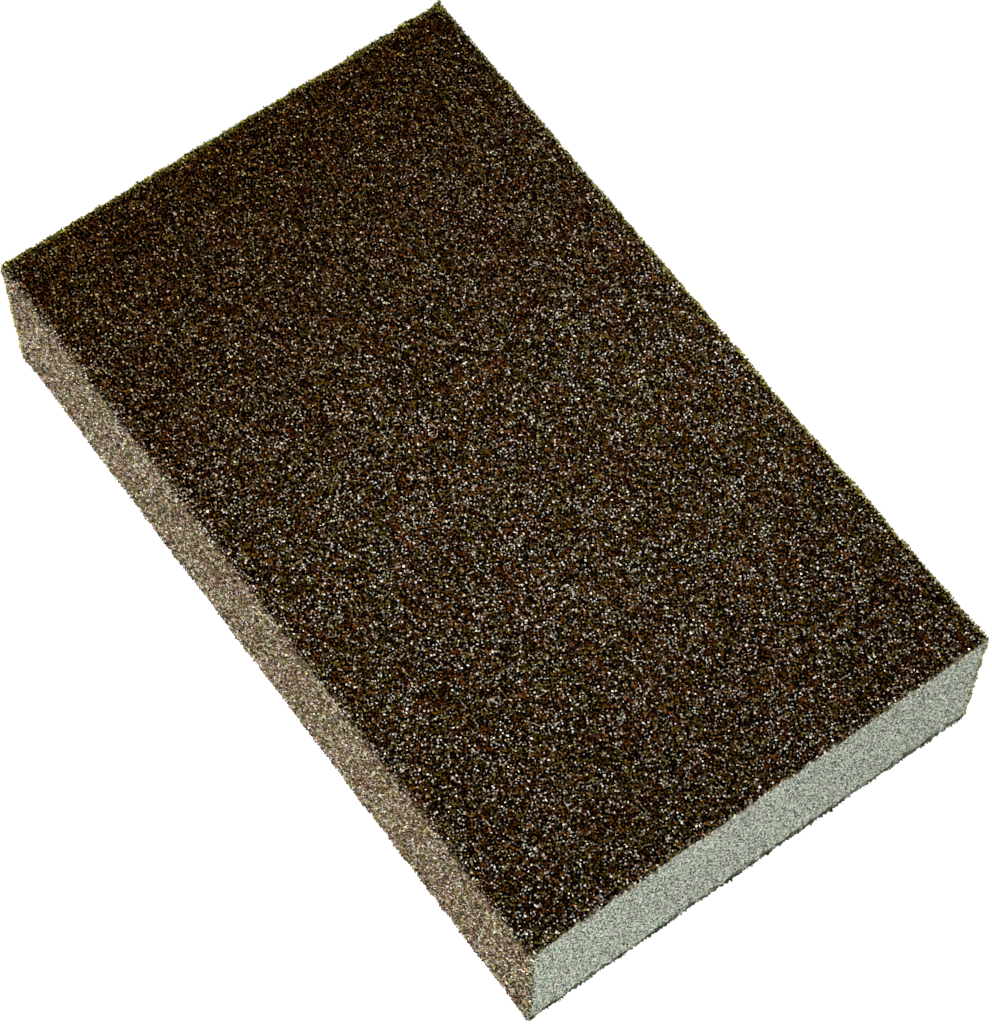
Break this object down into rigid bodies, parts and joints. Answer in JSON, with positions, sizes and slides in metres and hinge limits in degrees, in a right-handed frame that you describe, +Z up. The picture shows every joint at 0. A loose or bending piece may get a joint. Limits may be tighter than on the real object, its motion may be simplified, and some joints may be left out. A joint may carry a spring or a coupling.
{
  "type": "sanding sponge",
  "caption": "Flat rectangular hand sanding sponge: a fine-cell foam block with coarse abrasive grit bonded round its long faces and raw foam ends.",
  "frame": {"origin": "middle of the gritted face that the block rests on", "axes": "+X along the block's length towards one raw foam end, +Y across its width, +Z up through its height"},
  "size_m": [0.1, 0.0604, 0.0215],
  "materials": {
    "raw_foam": "matt fine-cell polyurethane foam, cut raw, with fine open pores",
    "bonded_grit": "coarse brown mineral grit bonded in resin, rough, with small bright sparkles"
  },
  "bodies": {
    "root": {"foam_block": "raw_foam", "abrasive_coat": "bonded_grit"}
  },
  "joints": []
}
